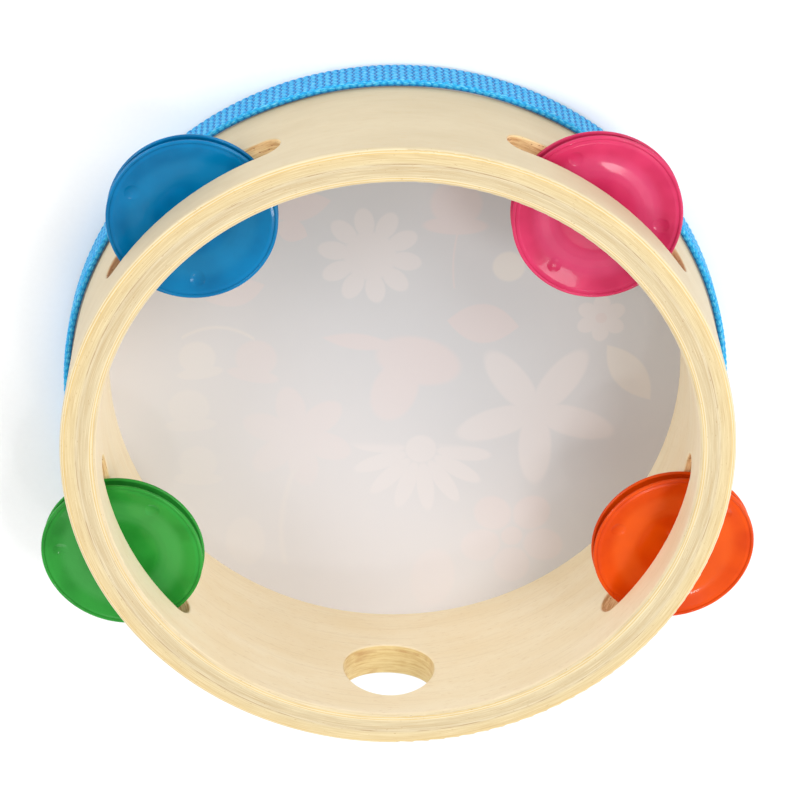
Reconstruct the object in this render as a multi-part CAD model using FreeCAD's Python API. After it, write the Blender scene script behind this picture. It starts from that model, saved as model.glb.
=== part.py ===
import FreeCAD, Part
import math
import os

# A small hand tambourine, lying on its head with its open side up.
# All sizes are in millimetres. The origin is the centre of the head's outer face,
# +Z points out of the open side, and the thumb hole faces -Y.

os.makedirs("parts", exist_ok=True)

# Driving dimensions
OUTER_DIAMETER = 150.0
HEIGHT = 45.0
WALL = 8.0

# Where the four jingle slots start and end, in degrees round the hoop from +X
SLOT_ENDS = {"blue": (111.2, 150.3), "pink": (33.6, 73.4), "green": (187.0, 225.4), "orange": (317.1, 355.5)}
THUMB_HOLE_ANGLE = 270.0

# Hoop
OUTER_RADIUS = OUTER_DIAMETER / 2
INNER_RADIUS = OUTER_RADIUS - WALL
MIDDLE_RADIUS = OUTER_RADIUS - WALL / 2
OPEN_EDGE_ROUND = 1.2
HEAD_EDGE_ROUND = 0.6
VENEER = 1.2
OUTER_CORE = 2.4
GLUE_LINE_RADIUS = OUTER_RADIUS - VENEER - OUTER_CORE

# Thumb hole and jingle slots, both cut radially through the wall
THUMB_HOLE_RADIUS = 10.75
THUMB_HOLE_Z = HEIGHT - 19.7
SLOT_HEIGHT = 7.8
SLOT_Z = HEIGHT - 14.6
MOUTH_ROUND = 0.5

# Head film and the woven band that covers its turned-up edge
FILM = 0.3
FILM_TURN_UP = 9.6
BAND_LOW = 0.5
BAND_WIDTH = 10.0
BAND_THICKNESS = 1.6
BAND_EDGE_ROUND = 0.5
BAND_BUTT_GAP = 0.4

# Jingle pins, headed nails driven in from the head's side, through the inner core.
# Each stands at an angle round the hoop and at a distance from its axis
PIN_PLACES = {"blue": (131.4, 69.9), "pink": (52.7, 69.3), "green": (207.3, 70.2), "orange": (336.6, 70.4)}
PIN_RADIUS = 0.8
PIN_HEAD_RADIUS = 2.0
PIN_HEAD_HEIGHT = 0.8
PIN_BITE = 6.5

# Jingle disc, a shallow stamped dish: flat boss, soft step, ring, curved wall, lip and beaded rim
DISC_RADIUS = 18.8
DISC_SHEET = 0.5
DISC_BEAD = 0.45
DISC_DEPTH = 1.25
DISC_HOLE_RADIUS = 2.3
DISC_BOSS_RADIUS = 8.2
DISC_STEP_WIDTH = 2.2
DISC_STEP_HEIGHT = 0.25
DISC_STEP_ROUND = 6.0
DISC_RING_RADIUS = 13.4
DISC_RING_RISE = 0.1
DISC_WALL_ROUND = 12.0
DISC_LIP_RADIUS = 17.2
DISC_LIP_ROUND = 0.9
DISC_LIP_DROP = 0.15
DISC_GAP = 0.1

# Three small pits pressed into each disc while it was painted
PIT_CIRCLE_RADIUS = 13.4
PIT_RADIUS = 1.1
PIT_DEPTH = 0.12
PIT_ANGLES = {"blue": 35.0, "pink": 112.0, "green": 60.0, "orange": 158.0}
LOWER_DISC_SPIN = 50.0

# How the discs lie: all of them slipped towards the thumb hole as far as their holes allow,
# and some leaning outwards, in degrees, the lower disc and the upper one
DISC_SLIP = 1.4
DISC_LEANS = {"blue": (0.0, 0.0), "pink": (0.0, 3.7), "green": (6.0, 6.0), "orange": (6.0, 6.0)}

UP = FreeCAD.Vector(0, 0, 1)
ORIGIN = FreeCAD.Vector(0, 0, 0)


def point(radius, height):
    return FreeCAD.Vector(radius, 0, height)


def around(angle, radius, height):
    turn = math.radians(angle)
    return FreeCAD.Vector(radius * math.cos(turn), radius * math.sin(turn), height)


def outward(angle):
    return around(angle, 1.0, 0.0)


def line(start, end):
    return Part.LineSegment(start, end).toShape()


def corner(centre, radius, start_angle, end_angle):
    """An arc in the XZ plane, through its middle, from one angle to the other."""
    angles = (start_angle, (start_angle + end_angle) / 2, end_angle)
    ends = [
        FreeCAD.Vector(
            centre.x + radius * math.cos(math.radians(a)), 0, centre.z + radius * math.sin(math.radians(a))
        )
        for a in angles
    ]
    return Part.Arc(*ends).toShape()


def closed_profile(pieces):
    """Join lines and arcs, given in order, with straight edges wherever they leave a gap."""
    edges = []
    for index, piece in enumerate(pieces):
        edges.append(piece)
        end = piece.Vertexes[-1].Point
        start = pieces[(index + 1) % len(pieces)].Vertexes[0].Point
        if end.distanceToPoint(start) > 1e-7:
            edges.append(line(end, start))
    return Part.Face(Part.Wire(edges))


def revolved(face, degrees=360.0):
    return face.revolve(ORIGIN, UP, degrees)


def tube(inner, outer, low, high):
    base = FreeCAD.Vector(0, 0, low)
    return Part.makeCylinder(outer, high - low, base).cut(Part.makeCylinder(inner, high - low, base))


def slot_cutter(start_angle, end_angle):
    """A long slot round the hoop, with half-round ends whose axes are radial."""
    end_radius = SLOT_HEIGHT / 2
    end_span = math.degrees(end_radius / MIDDLE_RADIUS)
    cut_inner = INNER_RADIUS - WALL / 2
    cut_outer = OUTER_RADIUS + WALL / 2
    end_centres = (start_angle + end_span, end_angle - end_span)
    sector = Part.makeCylinder(cut_outer, SLOT_HEIGHT, ORIGIN, UP, end_centres[1] - end_centres[0])
    sector = sector.cut(Part.makeCylinder(cut_inner, SLOT_HEIGHT))
    sector.rotate(ORIGIN, UP, end_centres[0])
    sector.translate(FreeCAD.Vector(0, 0, SLOT_Z - end_radius))
    ends = [
        Part.makeCylinder(end_radius, cut_outer - cut_inner, around(angle, cut_inner, SLOT_Z), outward(angle))
        for angle in end_centres
    ]
    return sector.fuse(ends).removeSplitter()


def thumb_hole_cutter():
    start = around(THUMB_HOLE_ANGLE, INNER_RADIUS - WALL, THUMB_HOLE_Z)
    return Part.makeCylinder(THUMB_HOLE_RADIUS, 3 * WALL, start, outward(THUMB_HOLE_ANGLE))


def jingle_pin(place):
    top = SLOT_Z + SLOT_HEIGHT / 2 + PIN_BITE
    shank = Part.makeCylinder(PIN_RADIUS, top - FILM, place)
    head = Part.makeCylinder(PIN_HEAD_RADIUS, PIN_HEAD_HEIGHT, place)
    return shank.fuse(head).removeSplitter()


def hoop_blank():
    """The whole laminated hoop: a rounded wall with its slots and thumb hole cut through."""
    open_round = OPEN_EDGE_ROUND
    head_round = HEAD_EDGE_ROUND
    profile = closed_profile([
        corner(point(OUTER_RADIUS - open_round, HEIGHT - open_round), open_round, 0, 90),
        corner(point(INNER_RADIUS + open_round, HEIGHT - open_round), open_round, 90, 180),
        line(point(INNER_RADIUS, HEIGHT / 2), point(INNER_RADIUS, FILM)),
        corner(point(OUTER_RADIUS - head_round, FILM + head_round), head_round, -90, 0),
    ])
    hoop = revolved(profile).cut(thumb_hole_cutter())
    for start_angle, end_angle in SLOT_ENDS.values():
        hoop = hoop.cut(slot_cutter(start_angle, end_angle))
    return with_rounded_mouths(hoop)


def with_rounded_mouths(hoop):
    """Break the edges where the slots and the thumb hole meet the two faces of the wall."""
    low = SLOT_Z - THUMB_HOLE_RADIUS * 2
    high = SLOT_Z + THUMB_HOLE_RADIUS
    mouths = [
        edge for edge in hoop.Edges
        if low < edge.CenterOfMass.z < high and lies_on_a_wall_face(edge)
    ]
    return hoop.makeFillet(MOUTH_ROUND, mouths)


def lies_on_a_wall_face(edge):
    """True for an edge that runs along the outer or the inner face, but not a seam up the wall."""
    samples = edge.discretize(5)
    radii = [math.hypot(p.x, p.y) for p in samples]
    on_outer = all(abs(radius - OUTER_RADIUS) < 1e-3 for radius in radii)
    on_inner = all(abs(radius - INNER_RADIUS) < 1e-3 for radius in radii)
    is_full_height = max(p.z for p in samples) - min(p.z for p in samples) > HEIGHT / 2
    return (on_outer or on_inner) and not is_full_height


def hoop_plies():
    """Cut the hoop into the four strips that it is laminated from."""
    hoop = hoop_blank()
    for pin_angle, pin_distance in PIN_PLACES.values():
        hoop = hoop.cut(jingle_pin(around(pin_angle, pin_distance, FILM)))
    layers = {
        "hoop_outer_veneer": (OUTER_RADIUS - VENEER, OUTER_RADIUS + WALL),
        "hoop_outer_core": (GLUE_LINE_RADIUS, OUTER_RADIUS - VENEER),
        "hoop_inner_core": (INNER_RADIUS + VENEER, GLUE_LINE_RADIUS),
        "hoop_inner_veneer": (INNER_RADIUS - WALL, INNER_RADIUS + VENEER),
    }
    high = HEIGHT + WALL
    return {name: hoop.common(tube(inner, outer, 0, high)) for name, (inner, outer) in layers.items()}


def drum_head():
    """A flat film stretched over the hoop's end and turned up round its outside."""
    turn_centre = point(OUTER_RADIUS - HEAD_EDGE_ROUND, FILM + HEAD_EDGE_ROUND)
    film_outside = OUTER_RADIUS + FILM
    return revolved(closed_profile([
        line(point(0, FILM), point(0, 0)),
        corner(turn_centre, HEAD_EDGE_ROUND + FILM, -90, 0),
        line(point(film_outside, FILM_TURN_UP), point(OUTER_RADIUS, FILM_TURN_UP)),
        corner(turn_centre, HEAD_EDGE_ROUND, 0, -90),
    ]))


def webbing_band():
    """A flat woven strap round the hoop, its two ends butted under the thumb hole."""
    inner = OUTER_RADIUS + FILM
    outer = inner + BAND_THICKNESS
    low = BAND_LOW
    high = BAND_LOW + BAND_WIDTH
    edge = BAND_EDGE_ROUND
    profile = closed_profile([
        corner(point(outer - edge, high - edge), edge, 0, 90),
        corner(point(inner + edge, high - edge), edge, 90, 180),
        corner(point(inner + edge, low + edge), edge, 180, 270),
        corner(point(outer - edge, low + edge), edge, 270, 360),
    ])
    gap_angle = math.degrees(BAND_BUTT_GAP / outer)
    band = revolved(profile, 360.0 - gap_angle)
    band.rotate(ORIGIN, UP, THUMB_HOLE_ANGLE + gap_angle / 2)
    return band


def rounded_line(corners):
    """Straight edges from corner to corner, with an arc at each one between the ends: (point, arc radius)."""
    edges = []
    start = corners[0][0]
    for (before, _), (here, radius), (after, _) in zip(corners, corners[1:], corners[2:]):
        back = (before - here).normalize()
        ahead = (after - here).normalize()
        half_angle = back.getAngle(ahead) / 2
        reach = radius / math.tan(half_angle)
        middle = here + (back + ahead).normalize() * (radius / math.sin(half_angle) - radius)
        edges.append(line(start, here + back * reach))
        edges.append(Part.Arc(here + back * reach, middle, here + ahead * reach).toShape())
        start = here + ahead * reach
    edges.append(line(start, corners[-1][0]))
    return edges


def disc_section():
    """The dish's cross-section, rising from the boss's flat underside to the lip and into the bead."""
    bead_centre = point(DISC_RADIUS - DISC_BEAD, DISC_DEPTH + DISC_SHEET / 2)
    hole_edge = point(DISC_HOLE_RADIUS, 0)
    bead_edge = point(bead_centre.x, DISC_DEPTH - DISC_LIP_DROP)
    under = rounded_line([
        (hole_edge, 0),
        (point(DISC_BOSS_RADIUS, 0), DISC_STEP_ROUND),
        (point(DISC_BOSS_RADIUS + DISC_STEP_WIDTH, DISC_STEP_HEIGHT), DISC_STEP_ROUND),
        (point(DISC_RING_RADIUS, DISC_STEP_HEIGHT + DISC_RING_RISE), DISC_WALL_ROUND),
        (point(DISC_LIP_RADIUS, DISC_DEPTH), DISC_LIP_ROUND),
        (bead_edge, 0),
    ])
    sheet = FreeCAD.Vector(0, 0, DISC_SHEET)
    over = [edge.translated(sheet) for edge in under]
    sides = [line(end, end + sheet) for end in (hole_edge, bead_edge)]
    return Part.Face(Part.Wire(Part.__sortEdges__(under + over + sides))), bead_centre


def pit_cutter(angle):
    """A ball that dips into the upper face of the dish, just past its ring."""
    ball_radius = (PIT_RADIUS ** 2 + PIT_DEPTH ** 2) / (2 * PIT_DEPTH)
    surface = DISC_STEP_HEIGHT + DISC_RING_RISE + DISC_SHEET
    return Part.makeSphere(ball_radius, around(angle, PIT_CIRCLE_RADIUS, surface - PIT_DEPTH + ball_radius))


def jingle_disc(first_pit):
    """A disc with its boss's underside at z=0 and its beaded rim above it, centred on the Z axis."""
    section, bead_centre = disc_section()
    bead = Part.makeTorus(bead_centre.x, DISC_BEAD, FreeCAD.Vector(0, 0, bead_centre.z))
    disc = revolved(section).fuse(bead)
    for turn in (0, 120, 240):
        disc = disc.cut(pit_cutter(first_pit + turn))
    return disc


def lean_outwards(disc, degrees, angle):
    """Tip a disc about its middle so that its upper face turns towards the outside of the hoop."""
    disc.rotate(ORIGIN, outward(angle + 90), degrees)


def jingle_pair(colour, place, angle):
    """Two discs on one pin, boss to boss, the lower one resting on the slot's floor."""
    lower_lean, upper_lean = DISC_LEANS[colour]
    rim_height = DISC_DEPTH + DISC_SHEET / 2 + DISC_BEAD
    wall_reach = math.sqrt(OUTER_RADIUS ** 2 - DISC_RADIUS ** 2) - MIDDLE_RADIUS
    lower_lift = wall_reach * math.sin(math.radians(lower_lean))
    upper_lift = DISC_BOSS_RADIUS * math.sin(math.radians(upper_lean - lower_lean))
    middle = place + FreeCAD.Vector(0, -DISC_SLIP, 0)
    middle.z = SLOT_Z - SLOT_HEIGHT / 2 + DISC_GAP + rim_height + lower_lift
    lower = jingle_disc(PIT_ANGLES[colour] + LOWER_DISC_SPIN).mirror(ORIGIN, UP)
    lean_outwards(lower, lower_lean, angle)
    lower.translate(middle)
    upper = jingle_disc(PIT_ANGLES[colour])
    upper.translate(FreeCAD.Vector(0, 0, DISC_GAP))
    lean_outwards(upper, upper_lean, angle)
    upper.translate(middle + FreeCAD.Vector(0, 0, upper_lift))
    return lower, upper


def build():
    nodes = hoop_plies()
    nodes["drum_head"] = drum_head()
    nodes["webbing_band"] = webbing_band()
    for colour, (pin_angle, pin_distance) in PIN_PLACES.items():
        place = around(pin_angle, pin_distance, FILM)
        lower, upper = jingle_pair(colour, place, pin_angle)
        nodes["pin_" + colour] = jingle_pin(place)
        nodes["jingle_" + colour + "_lower"] = lower
        nodes["jingle_" + colour + "_upper"] = upper
    return nodes


for node_name, shape in build().items():
    shape.exportStep("parts/" + node_name + ".step")
    print(node_name, "valid", shape.isValid(), "solids", len(shape.Solids), "volume", round(shape.Volume, 1))
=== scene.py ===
import math

import bpy
import numpy as np
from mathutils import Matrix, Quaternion, Vector


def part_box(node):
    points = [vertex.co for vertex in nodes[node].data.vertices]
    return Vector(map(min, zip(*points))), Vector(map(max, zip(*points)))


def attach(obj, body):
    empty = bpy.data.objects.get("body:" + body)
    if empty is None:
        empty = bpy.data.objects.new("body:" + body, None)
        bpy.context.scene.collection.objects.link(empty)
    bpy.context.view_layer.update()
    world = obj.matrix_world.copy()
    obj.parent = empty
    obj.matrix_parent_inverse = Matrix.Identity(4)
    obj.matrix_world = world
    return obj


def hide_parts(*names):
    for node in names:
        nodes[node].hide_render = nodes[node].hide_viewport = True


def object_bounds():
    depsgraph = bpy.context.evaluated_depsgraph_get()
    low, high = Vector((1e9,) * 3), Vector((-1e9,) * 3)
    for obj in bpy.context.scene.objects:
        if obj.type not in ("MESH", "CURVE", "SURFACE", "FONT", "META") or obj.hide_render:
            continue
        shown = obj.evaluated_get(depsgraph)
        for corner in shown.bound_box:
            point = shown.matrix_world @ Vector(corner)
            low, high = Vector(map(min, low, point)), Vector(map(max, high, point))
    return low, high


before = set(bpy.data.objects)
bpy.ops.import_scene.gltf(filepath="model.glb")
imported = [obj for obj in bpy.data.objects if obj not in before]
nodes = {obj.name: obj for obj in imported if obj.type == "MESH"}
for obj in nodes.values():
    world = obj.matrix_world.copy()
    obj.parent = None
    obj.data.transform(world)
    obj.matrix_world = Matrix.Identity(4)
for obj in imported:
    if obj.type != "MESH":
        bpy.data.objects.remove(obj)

# A small hand tambourine lying on its head, seen from above its open side.
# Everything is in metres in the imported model's frame: the origin is the centre of the
# head's outer face, +Z points out of the open side and the thumb hole faces -Y.

MM = 0.001
cad_low, cad_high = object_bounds()


# ---------------------------------------------------------------- sizes from the frame

def largest_radius(name):
    """How far a CAD node reaches from the Z axis."""
    return max(math.hypot(v.co.x, v.co.y) for v in nodes[name].data.vertices)


def smallest_radius(name):
    """How near a CAD node comes to the Z axis."""
    return min(math.hypot(v.co.x, v.co.y) for v in nodes[name].data.vertices)


OUTER = largest_radius("hoop_outer_veneer")
INNER = smallest_radius("hoop_inner_veneer")
GLUE_LINE = smallest_radius("hoop_outer_core")
OUTER_VENEER = smallest_radius("hoop_outer_veneer")
INNER_VENEER = smallest_radius("hoop_inner_core")
RIM_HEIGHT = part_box("hoop_outer_veneer")[1].z
FILM_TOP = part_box("hoop_outer_veneer")[0].z
HEAD_EDGE = largest_radius("drum_head")
HEAD_TURN_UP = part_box("drum_head")[1].z
BAND_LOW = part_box("webbing_band")[0].z
BAND_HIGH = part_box("webbing_band")[1].z
BAND_INNER = smallest_radius("webbing_band")
BAND_OUTER = largest_radius("webbing_band")
JINGLE_COLOURS = ("blue", "pink", "green", "orange")

# Fine relief, as depths
WOOD_TOOTH = 0.04 * MM
PAINT_TOOTH = 0.02 * MM
STEEL_TOOTH = 0.02 * MM
FILM_TOOTH = 0.01 * MM
YARN_TOOTH = 0.09 * MM

# Steps round the turned film
FILM_STEPS = 240

# Noise scales, in marks a metre
PAPER_GRAIN = 900.0
HOLE_PATCHES = 170.0
PAINT_CLOUDS = 110.0
PAINT_PEEL = 420.0
PAINT_DUST = 3200.0
FILM_CLOUDS = 60.0
FILM_GRAIN = 2400.0
STRAP_CLOUDS = 700.0


# ---------------------------------------------------------------- camera, light, floor

def add_camera():
    """Looks down into the open side from behind the blue and pink jingles, almost upside down."""
    aim = Vector((-0.00013, 0.0155, 0.045))
    distance = 0.6554
    azimuth = math.radians(183.66)
    elevation = math.radians(62.47)
    roll = math.radians(177.8)
    back = Vector((
        math.sin(azimuth) * math.cos(elevation),
        -math.cos(azimuth) * math.cos(elevation),
        math.sin(elevation),
    ))
    lens = bpy.data.cameras.new("camera")
    lens.sensor_width = 36.0
    lens.lens = 134.6
    lens.clip_start = 0.01
    lens.clip_end = 50.0
    camera = bpy.data.objects.new("camera", lens)
    camera.location = aim + back * distance
    camera.rotation_mode = "QUATERNION"
    camera.rotation_quaternion = (-back).to_track_quat("-Z", "Y") @ Quaternion((0, 0, 1), roll)
    bpy.context.scene.collection.objects.link(camera)
    bpy.context.scene.camera = camera


def add_light(name, place, aim, size, power):
    lamp = bpy.data.lights.new(name, "AREA")
    lamp.shape = "DISK"
    lamp.size = size
    lamp.energy = power
    holder = bpy.data.objects.new(name, lamp)
    holder.location = place
    holder.rotation_mode = "QUATERNION"
    holder.rotation_quaternion = (Vector(aim) - Vector(place)).to_track_quat("-Z", "Y")
    bpy.context.scene.collection.objects.link(holder)


MIDDLE = (0, 0, RIM_HEIGHT / 2)
PINK_DISC = (0.045, 0.06, RIM_HEIGHT)

# Each round area light: its name, place, aim, size across in metres and power in watts
LIGHTS = (
    ("key_softbox", (0.6, 0.9, 0.95), MIDDLE, 0.7, 7.2),
    ("left_softbox", (-1.0, 0.4, 0.8), MIDDLE, 0.8, 7.5),
    ("right_softbox", (1.0, -0.35, 0.6), MIDDLE, 0.7, 4.0),
    ("near_softbox", (-0.1, -1.1, 0.45), MIDDLE, 0.8, 2.5),
    ("window", (0.5, 0.12, 1.15), MIDDLE, 0.3, 2.8),
    ("gleam", (0.27, -0.40, 1.18), PINK_DISC, 0.09, 0.7),
)


def add_world():
    world = bpy.data.worlds.new("studio")
    world.use_nodes = True
    sky = world.node_tree.nodes["Background"]
    sky.inputs["Color"].default_value = (1.0, 1.0, 1.0, 1.0)
    sky.inputs["Strength"].default_value = 0.7
    bpy.context.scene.world = world


def add_floor():
    """A wide sheet of white paper, a hair under the head so the two never share a plane."""
    side = 6.0
    hair = 0.05 * MM
    half = side / 2
    mesh = bpy.data.meshes.new("studio_floor")
    corners = [(-half, -half, 0), (half, -half, 0), (half, half, 0), (-half, half, 0)]
    mesh.from_pydata(corners, [], [(0, 1, 2, 3)])
    floor = bpy.data.objects.new("studio_floor", mesh)
    floor.location.z = cad_low.z - hair
    bpy.context.scene.collection.objects.link(floor)
    paper = Surface("floor_paper", Roughness=0.9)
    grain = paper.noise(paper.place(), PAPER_GRAIN, detail=3.0)
    paper.colour(paper.blend(grain, linear(244, 244, 244), linear(248, 248, 248)))
    mesh.materials.append(paper.material)


# ---------------------------------------------------------------- materials: short ways to add nodes

def linear(red, green, blue):
    """A colour given from 0 to 255 a channel, as the linear light that shaders use."""
    def straight(level):
        share = level / 255
        return share / 12.92 if share <= 0.04045 else ((share + 0.055) / 1.055) ** 2.4
    return (straight(red), straight(green), straight(blue), 1.0)


class Surface:
    """One material with one principled shader, and short ways to add nodes to it."""

    def __init__(self, name, **constants):
        self.material = bpy.data.materials.new(name)
        self.material.use_nodes = True
        self.tree = self.material.node_tree
        self.shader = self.tree.nodes["Principled BSDF"]
        for socket, value in constants.items():
            self.shader.inputs[socket.replace("_", " ")].default_value = value

    def node(self, kind, *values, **settings):
        made = self.tree.nodes.new("ShaderNode" + kind)
        for setting, value in settings.items():
            setattr(made, setting, value)
        for socket, value in zip(made.inputs, values):
            self.feed(socket, value)
        return made

    def feed(self, socket, value):
        if isinstance(value, bpy.types.NodeSocket):
            self.tree.links.new(value, socket)
        else:
            socket.default_value = value

    def math(self, operation, *values):
        return self.node("Math", *values, operation=operation).outputs[0]

    def place(self):
        """Where the point is on the piece, in metres, which moves with the piece."""
        return self.node("TexCoord").outputs["Object"]

    def facing(self):
        """Which way the surface faces, as the piece itself has it."""
        return self.node("TexCoord").outputs["Normal"]

    def split(self, vector):
        return self.node("SeparateXYZ", vector).outputs[:]

    def join(self, x, y, z):
        return self.node("CombineXYZ", x, y, z).outputs[0]

    def noise(self, vector, scale, detail=2.0, roughness=0.5, fourth=None):
        made = self.node("TexNoise", noise_dimensions="3D" if fourth is None else "4D")
        self.feed(made.inputs["Vector"], vector)
        self.feed(made.inputs["Scale"], scale)
        self.feed(made.inputs["Detail"], detail)
        self.feed(made.inputs["Roughness"], roughness)
        if fourth is not None:
            self.feed(made.inputs["W"], fourth)
        return made.outputs["Fac"]

    def ease(self, value, low, high):
        """0 below low, 1 above high, and smooth between them."""
        made = self.node("MapRange", interpolation_type="SMOOTHSTEP")
        self.feed(made.inputs["Value"], value)
        self.feed(made.inputs["From Min"], low)
        self.feed(made.inputs["From Max"], high)
        return made.outputs["Result"]

    def bump_at(self, value, middle, width):
        """1 where value is at middle, falling smoothly to 0 at half a width away."""
        away = self.math("ABSOLUTE", self.math("SUBTRACT", value, middle))
        return self.less(self.ease(away, 0.0, width / 2))

    def blend(self, share, first, second):
        """The first colour where the share is 0, the second where it is 1."""
        made = self.node("Mix", data_type="RGBA", blend_type="MIX")
        self.feed(made.inputs[0], share)
        self.feed(made.inputs[6], first)
        self.feed(made.inputs[7], second)
        return made.outputs[2]

    def tint(self, colour, other, mask, share):
        """The colour, with this share of another mixed in where the mask is 1."""
        return self.blend(self.math("MULTIPLY", mask, share), colour, other)

    def ramp(self, value, *stops):
        """A colour for each value from 0 to 1, given as (value, colour) stops in rising order."""
        made = self.node("ValToRGB", value)
        elements = made.color_ramp.elements
        while len(elements) < len(stops):
            elements.new(1.0)
        for element, (position, colour) in zip(elements, stops):
            element.position = position
            element.color = colour
        return made.outputs["Color"]

    def length(self, x, y):
        return self.math("SQRT", self.math("MULTIPLY_ADD", x, x, self.math("MULTIPLY", y, y)))

    def less(self, value):
        """What is left of 1."""
        return self.math("SUBTRACT", 1.0, value)

    def number_blend(self, share, first, second):
        return self.math("MULTIPLY_ADD", share, self.math("SUBTRACT", second, first), first)

    def colour(self, value):
        self.feed(self.shader.inputs["Base Color"], value)

    def roughness(self, value):
        self.feed(self.shader.inputs["Roughness"], value)

    def relief(self, height, depth):
        """Raises the surface by height, from 0 to 1, times depth in metres."""
        made = self.node("Bump")
        self.feed(made.inputs["Height"], height)
        self.feed(made.inputs["Distance"], depth)
        self.feed(self.shader.inputs["Normal"], made.outputs["Normal"])


# ---------------------------------------------------------------- wood

class Wood(Surface):
    """Birch ply bent round the hoop: its grain runs round the hoop in every layer."""

    # Depths below the open rim over which its sawn face ends, and over which cut walls may begin
    SAWN_ENDS = (1.6 * MM, 0.9 * MM)
    CUTS_BEGIN = (2.4 * MM, 1.6 * MM)

    def __init__(self, name):
        super().__init__(name, Specular_IOR_Level=0.4, Sheen_Weight=0.12, Sheen_Roughness=0.4)
        x, y, self.height = self.split(self.place())
        self.radius = self.length(x, y)
        self.round_x = self.math("DIVIDE", x, self.radius)
        self.round_y = self.math("DIVIDE", y, self.radius)
        normal_x, normal_y, self.up = self.split(self.facing())
        sideways = self.math("MULTIPLY", normal_y, self.round_y)
        self.outward = self.math("ABSOLUTE", self.math("MULTIPLY_ADD", normal_x, self.round_x, sideways))

    def grain(self, length, high, deep, **settings):
        """Noise whose marks are this long round the hoop, this high and this deep in the wall, in mm."""
        along = OUTER / (length * MM)
        vector = self.join(
            self.math("MULTIPLY", self.round_x, along),
            self.math("MULTIPLY", self.round_y, along),
            self.math("DIVIDE", self.height, high * MM),
        )
        return self.noise(vector, 1.0, fourth=self.math("DIVIDE", self.radius, deep * MM), **settings)

    def across_wall(self):
        """0 at the hoop's inner face and 1 at its outer face, wandering a little round the hoop."""
        widest_wander = 0.5 * MM
        made = self.node("MapRange", clamp=True)
        wander = self.math("MULTIPLY", self.math("SUBTRACT", self.grain(35, 8, 3), 0.5), widest_wander)
        self.feed(made.inputs["Value"], self.math("ADD", self.radius, wander))
        self.feed(made.inputs["From Min"], INNER)
        self.feed(made.inputs["From Max"], OUTER)
        return made.outputs["Result"]

    def on_rim(self):
        """1 on the sawn end face of the hoop, 0 on its walls."""
        deep, shallow = self.SAWN_ENDS
        high = self.ease(self.height, RIM_HEIGHT - deep, RIM_HEIGHT - shallow)
        return self.math("MULTIPLY", high, self.ease(self.up, 0.15, 0.75))

    def on_cut(self):
        """1 on the walls of the slots and the thumb hole, where the wood is cut through."""
        deep, shallow = self.CUTS_BEGIN
        below = self.less(self.ease(self.height, RIM_HEIGHT - deep, RIM_HEIGHT - shallow))
        turned = self.less(self.ease(self.outward, 0.35, 0.9))
        return self.math("MULTIPLY", below, turned)

    def in_scorched_ends(self):
        """1 at the blue and pink slots' ends nearer the hoop's sides, where the cutter burnt the wood."""
        past_sides = self.ease(self.round_y, 0.4, 0.5)
        before_discs = self.ease(self.round_y, 0.72, 0.6)
        return self.math("MULTIPLY", past_sides, before_discs)

    def in_thumb_hole(self):
        """1 in the thumb hole, at the -Y side, 0 in the slots."""
        return self.ease(self.round_y, -0.94, -0.97)


def share_of_wall(radius):
    """Where a radius is in the wall: 0 at the inner face, 1 at the outer face."""
    return (radius - INNER) / (OUTER - INNER)


def sawn_rim(wood):
    """The layers' edges: pairs of gold and pale lines near the faces, a broken glue line, fine streaks."""
    across = wood.across_wall()
    glue = share_of_wall(GLUE_LINE)
    inner_line = share_of_wall(INNER_VENEER)
    outer_line = share_of_wall(OUTER_VENEER)
    layers = wood.ramp(
        across,
        (0.0, linear(214, 198, 162)),
        (inner_line + 0.04, linear(200, 184, 148)),
        (glue - 0.12, linear(188, 170, 134)),
        (glue - 0.02, linear(200, 185, 152)),
        (glue + 0.06, linear(202, 184, 142)),
        (outer_line - 0.02, linear(203, 181, 134)),
        (1.0, linear(214, 200, 166)),
    )
    fine = wood.grain(9, 3, 0.13, detail=3.0, roughness=0.6)
    broad = wood.grain(14, 6, 0.5, detail=4.0, roughness=0.65)
    splits = wood.grain(6, 2, 0.3, detail=2.0)
    specks = wood.grain(0.9, 1, 0.22, detail=1.0)
    colour = wood.tint(layers, linear(182, 154, 108), wood.ease(broad, 0.46, 0.66), 0.22)
    colour = wood.tint(colour, linear(176, 142, 92), wood.ease(fine, 0.5, 0.66), 0.42)
    colour = wood.tint(colour, linear(228, 212, 172), wood.ease(fine, 0.5, 0.36), 0.4)
    gold_width = 0.045
    pale_width = 0.035
    pale_step = 0.032
    for middle in (inner_line - 0.06, inner_line, outer_line + 0.02, outer_line + 0.08):
        on_gold = wood.bump_at(across, middle, gold_width)
        colour = wood.tint(colour, linear(208, 172, 92), on_gold, 0.6)
        on_pale = wood.bump_at(across, middle + pale_step, pale_width)
        colour = wood.tint(colour, linear(232, 218, 182), on_pale, 0.5)
    on_glue = wood.math("MULTIPLY", wood.bump_at(across, glue, gold_width), wood.ease(splits, 0.42, 0.58))
    colour = wood.tint(colour, linear(146, 108, 64), on_glue, 0.7)
    return wood.tint(colour, linear(150, 106, 58), wood.ease(specks, 0.68, 0.76), 0.55), fine


def sanded_face(wood, pale, tan):
    """Rotary-cut veneer, pale and almost plain: a soft mottle, faint growth lines and short fine pores."""
    clouds = wood.grain(26, 6, 6, detail=3.0)
    mottle = wood.grain(3.5, 1.6, 5, detail=3.0)
    lines = wood.grain(34, 0.7, 5, detail=3.0, roughness=0.6)
    pores = wood.grain(1.8, 0.28, 5, detail=2.0)
    colour = wood.blend(wood.ease(clouds, 0.25, 0.8), pale, tan)
    colour = wood.tint(colour, tan, wood.ease(mottle, 0.45, 0.75), 0.4)
    colour = wood.tint(colour, linear(186, 158, 116), wood.ease(lines, 0.52, 0.7), 0.12)
    return wood.tint(colour, linear(196, 164, 116), wood.ease(pores, 0.56, 0.74), 0.28), pores


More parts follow.
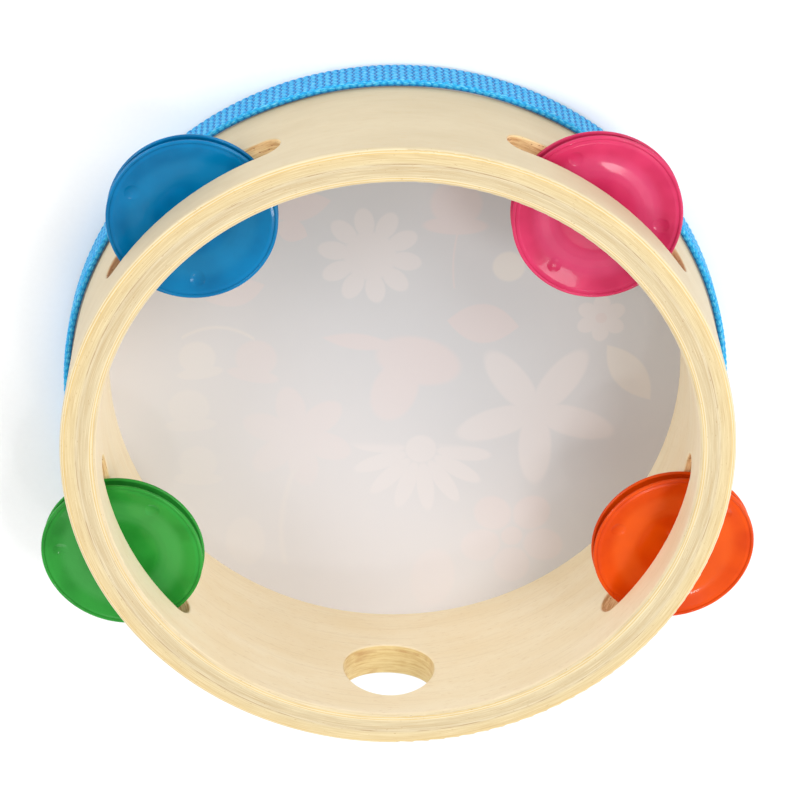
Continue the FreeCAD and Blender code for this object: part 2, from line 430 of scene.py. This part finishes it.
def cut_wall(wood):
    """The slots' walls are tan with burnt fibre ends, the thumb hole's wall is golden brown in patches."""
    layers = wood.grain(6, 4, 0.42, detail=4.0, roughness=0.65)
    bands = wood.grain(12, 6, 1.3, detail=2.0)
    ends = wood.grain(0.7, 0.7, 0.5, detail=1.0)
    slot = wood.blend(wood.ease(layers, 0.35, 0.68), linear(244, 216, 162), linear(200, 154, 100))
    slot = wood.tint(slot, linear(140, 70, 40), wood.ease(ends, 0.62, 0.74), 0.7)
    slot = wood.tint(slot, linear(158, 84, 44), wood.in_scorched_ends(), 0.62)
    patches = wood.noise(wood.place(), HOLE_PATCHES, detail=3.0)
    hole = wood.blend(wood.ease(layers, 0.36, 0.7), linear(222, 200, 144), linear(200, 167, 108))
    browned = wood.math("MULTIPLY", wood.ease(bands, 0.42, 0.62), wood.ease(patches, 0.42, 0.6))
    hole = wood.tint(hole, linear(180, 134, 80), browned, 0.6)
    return wood.blend(wood.in_thumb_hole(), slot, hole)


def hoop_wood(name, pale, tan):
    """One layer of the hoop: sanded faces of these two colours, the sawn rim and the cut walls."""
    wood = Wood(name)
    rim, streaks = sawn_rim(wood)
    face, pores = sanded_face(wood, pale, tan)
    on_rim = wood.on_rim()
    wood.colour(wood.blend(wood.on_cut(), wood.blend(on_rim, face, rim), cut_wall(wood)))
    wood.roughness(wood.math("ADD", 0.5, wood.math("MULTIPLY", streaks, 0.16)))
    wood.relief(wood.number_blend(on_rim, wood.math("MULTIPLY", pores, 0.4), streaks), WOOD_TOOTH)
    return wood.material


# ---------------------------------------------------------------- enamel and steel

def enamel(name, disc, colour, deep, painted_ring_light):
    """Gloss paint, with painted light making the disc's ring paler, orange peel, clouds of tone and a few
    dust nibs.
    """
    paint = Surface(name, IOR=1.45, Specular_IOR_Level=0.15, Coat_Weight=0.16, Coat_Roughness=0.05)
    place = paint.place()
    low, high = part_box(disc)
    x, y, z = paint.split(place)
    from_middle_x = paint.math("SUBTRACT", x, (low.x + high.x) / 2)
    from_middle_y = paint.math("SUBTRACT", y, (low.y + high.y) / 2)
    reach = paint.length(from_middle_x, from_middle_y)
    radius = (high.y - low.y) / 2
    past_boss = paint.ease(reach, 0.4 * radius, 0.52 * radius)
    before_lip = paint.ease(reach, 0.82 * radius, 0.68 * radius)
    on_ring = paint.math("MULTIPLY", past_boss, before_lip)
    cloud = paint.noise(place, PAINT_CLOUDS, detail=2.0)
    peel = paint.noise(place, PAINT_PEEL)
    dust = paint.ease(paint.noise(place, PAINT_DUST, detail=1.0), 0.66, 0.8)
    clouded = paint.blend(paint.ease(cloud, 0.3, 0.7), colour, deep)
    # Painted light: the ring between the boss and the lip is tinted paler.
    paint.colour(paint.tint(clouded, painted_ring_light, on_ring, 0.4))
    paint.roughness(paint.math("MULTIPLY_ADD", cloud, 0.1, 0.16))
    paint.relief(paint.math("MULTIPLY_ADD", dust, 0.5, peel), PAINT_TOOTH)
    return paint.material


# Each enamel's colour, its deeper clouds and its paler ring colour, which is painted light
ENAMELS = {
    "blue": (linear(0, 114, 168), linear(0, 98, 148), linear(32, 126, 172)),
    "pink": (linear(202, 52, 96), linear(184, 40, 82), linear(210, 80, 122)),
    "green": (linear(46, 148, 54), linear(34, 130, 42), linear(84, 168, 90)),
    "orange": (linear(220, 76, 5), linear(204, 62, 4), linear(226, 98, 34)),
}


def steel():
    """Drawn nail wire: bright steel with fine rings round it."""
    metal = Surface("pin_brushed_steel", Metallic=1.0)
    no_shift = (0, 0, 0)
    no_turn = (0, 0, 0)
    marks_a_metre = (200, 200, 9000)
    stretched = metal.node("Mapping", metal.place(), no_shift, no_turn, marks_a_metre).outputs[0]
    rings = metal.noise(stretched, 1.0)
    metal.colour(metal.blend(rings, linear(168, 170, 174), linear(206, 207, 208)))
    metal.roughness(metal.math("ADD", 0.28, metal.math("MULTIPLY", rings, 0.15)))
    metal.relief(rings, STEEL_TOOTH)
    return metal.material


# ---------------------------------------------------------------- head film

class Print(Surface):
    """The head film's printed flowers and leaves, each a shape drawn with a few formulas."""

    def __init__(self, name, **constants):
        super().__init__(name, **constants)
        self.x, self.y, self.z = self.split(self.place())

    def local(self, centre, size, turn):
        """The point as a motif has it: centre at 0, size 1, its own x axis turned by turn degrees."""
        cosine, sine = math.cos(math.radians(turn)), math.sin(math.radians(turn))
        reach = size * INNER
        x = self.math("SUBTRACT", self.x, centre[0] * INNER)
        y = self.math("SUBTRACT", self.y, centre[1] * INNER)
        across = self.math("MULTIPLY_ADD", x, cosine / reach, self.math("MULTIPLY", y, sine / reach))
        up = self.math("MULTIPLY_ADD", y, cosine / reach, self.math("MULTIPLY", x, -sine / reach))
        return across, up

    def inside(self, measure, softness=0.12):
        """1 where measure is under 1, with a soft edge."""
        return self.less(self.ease(measure, 1.0 - softness, 1.0 + softness))

    def ellipse(self, across, up, half_width, half_height):
        sideways = self.math("DIVIDE", across, half_width)
        upwards = self.math("DIVIDE", up, half_height)
        return self.inside(self.length(sideways, upwards))

    def flower(self, centre, size, turn, petals, width, heart=0.3, start=0.15):
        """Petals round a centre: each petal is an ellipse from start to the full size."""
        across, up = self.local(centre, size, turn)
        reach = self.length(across, up)
        sector = 2 * math.pi / petals
        turns = self.math("FRACT", self.math("DIVIDE", self.math("ARCTAN2", up, across), sector))
        off_axis = self.math("MULTIPLY", self.math("SUBTRACT", turns, 0.5), sector)
        outwards = self.math("MULTIPLY", reach, self.math("COSINE", off_axis))
        along = self.math("SUBTRACT", outwards, (1 + start) / 2)
        aside = self.math("MULTIPLY", reach, self.math("SINE", off_axis))
        petal = self.ellipse(aside, along, width, (1 - start) / 2)
        return self.math("MAXIMUM", petal, self.inside(self.math("DIVIDE", reach, heart)))

    def side_daisy(self, centre, size, turn):
        """A daisy seen from its side: a round heart with petals hanging below it."""
        up = self.local(centre, size, turn)[1]
        hanging = self.less(self.ease(up, 0.0, 0.12))
        ray_flower = self.flower(centre, size, turn + 8, 14, 0.12, heart=0.1, start=0.22)
        petals = self.math("MULTIPLY", hanging, ray_flower)
        return self.math("MAXIMUM", petals, self.oval(centre, size * 0.22, 0, 1.0))

    def oval(self, centre, size, turn, width):
        """A petal or a bud along its own x axis."""
        along, aside = self.local(centre, size, turn)
        return self.ellipse(along, aside, 1.0, width)

    def leaf(self, centre, size, turn, width):
        """A pointed leaf along its own x axis."""
        along, aside = self.local(centre, size, turn)
        belly = self.math("MULTIPLY", self.less(self.math("MULTIPLY", along, along)), width)
        margin = self.math("SUBTRACT", belly, self.math("ABSOLUTE", aside))
        return self.ease(margin, 0.0, 0.08)

    def bell(self, centre, size, turn):
        """A bell flower: a round body with a flared mouth below it."""
        across, up = self.local(centre, size, turn)
        body = self.ellipse(across, self.math("SUBTRACT", up, 0.2), 0.8, 0.78)
        mouth = self.ellipse(across, self.math("ADD", up, 0.55), 1.0, 0.3)
        return self.math("MAXIMUM", body, mouth)

    def stem(self, centre, size, turn, bend, width=0.05):
        """A thin curved line along its own x axis."""
        along, aside = self.local(centre, size, turn)
        curve = self.math("MULTIPLY", self.less(self.math("MULTIPLY", along, along)), bend)
        line = self.bump_at(self.math("SUBTRACT", aside, curve), 0.0, width * 2)
        ends = self.less(self.ease(self.math("ABSOLUTE", along), 0.95, 1.0))
        return self.math("MULTIPLY", line, ends)


def head_film():
    """White film: its print is bright on the outside and shows through it, pale and milky, inside; painted
    light makes the inside paler towards -X and -Y.
    """
    film = Print("head_film_printed", Roughness=0.42, IOR=1.46, Specular_IOR_Level=0.4)
    seen_through = {
        "flower": linear(200, 196, 197),
        "rose": linear(199, 191, 192),
        "leaf": linear(202, 198, 195),
    }
    printed = {
        "flower": linear(250, 214, 106),
        "rose": linear(238, 130, 150),
        "leaf": linear(112, 178, 92),
    }
    # Centres and sizes are shares of the hoop's inner radius, turns are in degrees
    motifs = [
        ("flower", film.flower((-0.10, 0.44), 0.18, 10, 10, 0.19, heart=0.52, start=0.4)),
        ("flower", film.side_daisy((0.10, -0.31), 0.25, 0)),
        ("flower", film.flower((0.50, -0.15), 0.29, 20, 5, 0.2, heart=0.2, start=0.0)),
        ("flower", film.flower((0.71, 0.22), 0.09, 0, 6, 0.33, heart=0.2)),
        ("rose", film.oval((0.71, 0.22), 0.02, 0, 1.0)),
        ("rose", film.flower((0.44, -0.66), 0.19, 20, 5, 0.34, heart=0.2, start=0.25)),
        ("rose", film.flower((-0.34, -0.27), 0.20, 12, 6, 0.26, heart=0.28, start=0.1)),
        ("rose", film.bell((0.19, 0.62), 0.11, 0)),
        ("rose", film.stem((0.20, 0.44), 0.12, 88, 0.1)),
        ("leaf", film.oval((0.38, 0.41), 0.056, 0, 1.0)),
        ("leaf", film.bell((-0.69, 0.02), 0.08, 10)),
        ("rose", film.bell((-0.49, 0.02), 0.09, -10)),
        ("leaf", film.bell((-0.72, -0.18), 0.09, 5)),
        ("leaf", film.bell((-0.69, -0.40), 0.085, 0)),
        ("leaf", film.stem((-0.62, 0.11), 0.13, 0, 0.35, width=0.09)),
        ("rose", film.leaf((0.30, 0.19), 0.13, -4, 0.62)),
        ("rose", film.leaf((-0.13, 0.11), 0.14, 174, 0.26)),
        ("rose", film.oval((0.08, 0.04), 0.15, -14, 0.6)),
        ("rose", film.oval((0.0, -0.08), 0.12, 72, 0.66)),
        ("rose", film.leaf((-0.35, 0.62), 0.12, 12, 0.5)),
        ("rose", film.leaf((-0.37, 0.53), 0.06, -20, 0.75)),
        ("rose", film.leaf((-0.56, 0.29), 0.11, 18, 0.5)),
        ("leaf", film.leaf((0.82, 0.01), 0.14, -52, 0.45)),
        ("rose", film.oval((0.16, -0.84), 0.12, 84, 0.66)),
        ("leaf", film.oval((-0.52, -0.70), 0.10, 95, 0.7)),
        ("leaf", film.stem((-0.36, -0.60), 0.20, 86, 0.15, width=0.09)),
    ]
    clouds = film.noise(film.place(), FILM_CLOUDS)
    inside = film.blend(clouds, linear(188, 188, 191), linear(192, 192, 195))
    outside = film.blend(clouds, linear(244, 241, 236), linear(240, 238, 234))
    for kind, mask in motifs:
        inside = film.blend(mask, inside, seen_through[kind])
        outside = film.blend(mask, outside, printed[kind])
    # Painted light: the inner face is tinted paler towards -X and -Y, where more light falls, and stays
    # greyer where the hoop's wall shades it.
    slanted = film.math("MULTIPLY_ADD", film.x, 0.8, film.y)
    painted_light_side = film.ease(slanted, 0.3 * INNER, -0.9 * INNER)
    inside = film.tint(inside, linear(218, 214, 216), painted_light_side, 0.75)
    thickness = FILM_TOP - cad_low.z
    top_side = film.ease(film.z, thickness / 3, thickness * 2 / 3)
    film.colour(film.blend(top_side, outside, inside))
    film.relief(film.noise(film.place(), FILM_GRAIN, detail=2.0), FILM_TOOTH)
    return film.material


def film_profile():
    """Half the film's cross-section: out along the inside, round the corner, up, and back outside."""
    thickness = FILM_TOP - cad_low.z
    wood_edge = HEAD_EDGE - thickness
    corner = 0.6 * MM
    flat_steps = 40
    turns = [math.radians(degrees) for degrees in range(-90, 1, 15)]

    def turned(turn, reach):
        return wood_edge - corner + reach * math.cos(turn), FILM_TOP + corner + reach * math.sin(turn)

    flat = [(wood_edge - corner) * step / flat_steps for step in range(1, flat_steps)]
    inner = [(r, FILM_TOP) for r in flat]
    inner += [turned(t, corner) for t in turns]
    outer = [turned(t, corner + thickness) for t in reversed(turns)]
    top = [(wood_edge, HEAD_TURN_UP), (HEAD_EDGE, HEAD_TURN_UP)]
    underside = [(r, cad_low.z) for r in reversed(flat)]
    return inner + top + outer + underside


def turned_sheet(profile, around):
    """The profile turned round the Z axis in this many steps, closed by a fan at each of its two ends."""
    count = len(profile)
    vertices = []
    for index in range(around):
        turn = 2 * math.pi * index / around
        vertices += [(r * math.cos(turn), r * math.sin(turn), z) for r, z in profile]
    top_centre = len(vertices)
    vertices += [(0, 0, FILM_TOP), (0, 0, cad_low.z)]
    faces = []
    fans = []
    for index in range(around):
        here = index * count
        there = (index + 1) % around * count
        faces += [(here + k, there + k, there + k + 1, here + k + 1) for k in range(count - 1)]
        fans.append((here, top_centre, there))
        fans.append((there + count - 1, top_centre + 1, here + count - 1))
    return vertices, faces + fans


def make_film():
    """The head as one closed thin sheet."""
    vertices, faces = turned_sheet(film_profile(), FILM_STEPS)
    film = mesh_object("head_film_sheet", vertices, faces, head_film())
    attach(film, "frame")
    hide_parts("drum_head")


# ---------------------------------------------------------------- webbing

RIB_PITCH = 1.65 * MM
ROW_PITCH = 1.0 * MM
WEAVE_RELIEF = 0.27 * MM
BUTT_GAP = 0.4 * MM
EDGE_WANDER = 0.09 * MM
COLUMNS_A_RIB = 9


def weave_height(along, across):
    """The weave's relief, 0 to 1, at places given in ribs along the strap and rows of floats across it."""
    # The ribs lean a tenth of their pitch one way in one row of floats and back in the next
    side = 0.1 * np.sign(np.sin(math.pi * across))
    rib = np.abs(np.sin(math.pi * (along + side)))
    row = np.abs(np.sin(math.pi * across))
    return 0.6 * rib ** 0.8 + 0.4 * rib * row ** 0.7


def loop_height(along, depth):
    """The selvedge's relief: slanted loops of yarn, with depth 0 to 1 over the strap's edge."""
    loop = np.abs(np.sin(math.pi * (along + 0.5 * depth)))
    return np.clip(0.35 + 0.75 * loop ** 0.7 - 0.1 * depth, 0, 1)


def strap_section():
    """Points across the strap's outer side: each one's facing, its turn's height and share of the edge."""
    edge = 0.75 * MM
    flat = BAND_HIGH - BAND_LOW - 2 * edge
    face_steps = 64
    turn_steps = 9
    low = [(-90 + 90 * k / turn_steps, BAND_LOW + edge, 1 - k / turn_steps) for k in range(turn_steps)]
    face = [(0.0, BAND_LOW + edge + flat * k / face_steps, 0.0) for k in range(face_steps + 1)]
    high = [(90 * k / turn_steps, BAND_HIGH - edge, k / turn_steps) for k in range(1, turn_steps + 1)]
    return [(math.radians(turn), height, share) for turn, height, share in low + face + high], edge


def ring_of(turns, radius, height):
    """Points at these turns round the Z axis."""
    return np.stack([radius * np.cos(turns), radius * np.sin(turns), height + 0 * turns], axis=1)


def strap_rings(turns, along):
    """Rings of points round the strap's section, from its inner lower edge outwards, and their relief,
    which the cloth turns into painted shade and highlight.
    """
    # Two slow waves round the strap, which only ever draw its edges in
    wander = EDGE_WANDER * (np.sin(turns * 7 + 1.3) + np.sin(turns * 17) - 2)
    low_inset = 0.1 * MM
    high_inset = 0.3 * MM
    section, edge = strap_section()
    # Painted shade: the inner lower edge gets no relief, so it is coloured dark navy where the strap meets
    # the hoop.
    rings = [ring_of(turns, BAND_INNER, BAND_LOW + low_inset)]
    painted_shade_relief = [np.zeros_like(turns)]
    for facing, height, share in section:
        weave = weave_height(along, (height - BAND_LOW) / ROW_PITCH)
        relief = (1 - share) * weave + share * loop_height(along, share)
        lift = edge + WEAVE_RELIEF * (relief - 1)
        sideways = (wander if facing > 0 else -wander) * abs(math.sin(facing))
        radius = BAND_OUTER - edge + lift * math.cos(facing)
        rings.append(ring_of(turns, radius, height + lift * math.sin(facing) + sideways))
        painted_shade_relief.append(relief)
    rings.append(ring_of(turns, BAND_INNER, BAND_HIGH - high_inset + wander))
    # Painted shade: the inner upper edge gets low relief, so it is coloured dark where it meets the hoop.
    painted_shade_relief.append(0.3 * loop_height(along, 1.0))
    return rings, painted_shade_relief


def strap_faces(count, columns):
    """Quads between neighbouring rings, the last joined to the first, and a cap on each cut end."""
    run = columns + 1
    faces = []
    for k in range(count):
        here = k * run
        there = (k + 1) % count * run
        faces += [(here + i, here + i + 1, there + i + 1, there + i) for i in range(columns)]
    faces.append(tuple(k * run for k in range(count)))
    faces.append(tuple(k * run + columns for k in reversed(range(count))))
    return faces


def make_webbing():
    """A woven strap with raised ribs, floats and selvedge loops, its ends butted under the thumb hole."""
    middle = (BAND_INNER + BAND_OUTER) / 2
    ribs = round(2 * math.pi * middle / RIB_PITCH)
    gap = BUTT_GAP / middle
    columns = ribs * COLUMNS_A_RIB
    steps = np.arange(columns + 1) / columns
    turns = -math.pi / 2 + gap / 2 + (2 * math.pi - gap) * steps
    rings, painted_shade_relief = strap_rings(turns, ribs * steps)
    faces = strap_faces(len(rings), columns)
    band = mesh_object("webbing_strap", np.concatenate(rings).tolist(), faces, webbing_cloth())
    # The relief is stored on the points only to colour the cloth with painted shade and highlight.
    relief = band.data.attributes.new("weave_relief_painted_shade", "FLOAT", "POINT")
    relief.data.foreach_set("value", np.concatenate(painted_shade_relief).astype(np.float32))
    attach(band, "frame")
    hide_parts("webbing_band")


def webbing_cloth():
    """Woven polypropylene, its colour following the relief: painted shade, deep blue, between the ribs and
    at the inner edges, and pale filaments along the crests, partly painted highlight.
    """
    cloth = Surface(
        "webbing_woven", Roughness=0.5, Sheen_Weight=0.08, Sheen_Roughness=0.4, Specular_IOR_Level=0.3
    )
    x, y, z = cloth.split(cloth.place())
    angle = cloth.math("ARCTAN2", y, x)
    reach = cloth.length(x, y)
    relief = cloth.node("Attribute", attribute_name="weave_relief_painted_shade").outputs["Fac"]
    fibre_length = 1.1 * MM
    fibre_width = 0.22 * MM
    stretched = cloth.join(
        cloth.math("MULTIPLY", angle, BAND_OUTER / fibre_length),
        cloth.math("DIVIDE", z, fibre_width),
        cloth.math("DIVIDE", reach, fibre_width),
    )
    fibres = cloth.noise(stretched, 1.0, detail=3.0)
    cloud = cloth.noise(cloth.place(), STRAP_CLOUDS, detail=2.0)
    # Painted shade and highlight: the lower the relief the darker the blue, palest on the crests.
    colour = cloth.ramp(
        relief,
        (0.0, linear(3, 54, 116)),
        (0.25, linear(5, 112, 186)),
        (0.5, linear(8, 148, 212)),
        (0.8, linear(18, 162, 220)),
        (1.0, linear(60, 186, 224)),
    )
    # Pale filaments on the crests: partly the yarn's own fibres, partly painted highlight.
    pale = cloth.math("MULTIPLY", cloth.ease(fibres, 0.5, 0.64), cloth.ease(relief, 0.2, 0.7))
    colour = cloth.tint(colour, linear(130, 210, 234), pale, 0.62)
    colour = cloth.tint(colour, linear(3, 112, 194), cloth.ease(fibres, 0.46, 0.34), 0.45)
    colour = cloth.tint(colour, linear(6, 142, 214), cloth.ease(cloud, 0.5, 0.7), 0.3)
    cloth.colour(colour)
    cloth.relief(fibres, YARN_TOOTH)
    return cloth.material


# ---------------------------------------------------------------- pieces

def mesh_object(name, vertices, faces, material):
    """A smooth-shaded mesh of one material, linked to the scene."""
    mesh = bpy.data.meshes.new(name)
    mesh.from_pydata(vertices, [], faces)
    mesh.validate()
    mesh.shade_smooth()
    mesh.materials.append(material)
    made = bpy.data.objects.new(name, mesh)
    bpy.context.scene.collection.objects.link(made)
    return made


def dress(name, material):
    """Give a CAD node its material."""
    node = nodes[name]
    node.data.materials.clear()
    node.data.materials.append(material)


def dress_nodes():
    """Every CAD node that stays gets its material; the hoop's two inner layers are paler and the two outer
    layers darker, partly the veneers' own colour and partly painted light on the inner wall and painted
    shade on the outer wall.
    """
    outside = (linear(201, 186, 154), linear(192, 175, 141))
    inside = (linear(238, 224, 194), linear(232, 213, 176))
    dress("hoop_outer_veneer", hoop_wood("birch_outer_veneer", *outside))
    dress("hoop_outer_core", hoop_wood("birch_outer_core", *outside))
    dress("hoop_inner_core", hoop_wood("birch_inner_core", *inside))
    dress("hoop_inner_veneer", hoop_wood("birch_inner_veneer", *inside))
    pins = steel()
    for colour in JINGLE_COLOURS:
        paint = enamel("enamel_" + colour, "jingle_" + colour + "_upper", *ENAMELS[colour])
        dress("jingle_" + colour + "_lower", paint)
        dress("jingle_" + colour + "_upper", paint)
        dress("pin_" + colour, pins)


bpy.context.scene.view_settings.view_transform = "Standard"
add_camera()
add_world()
for light in LIGHTS:
    add_light(*light)
add_floor()
dress_nodes()
make_film()
make_webbing()
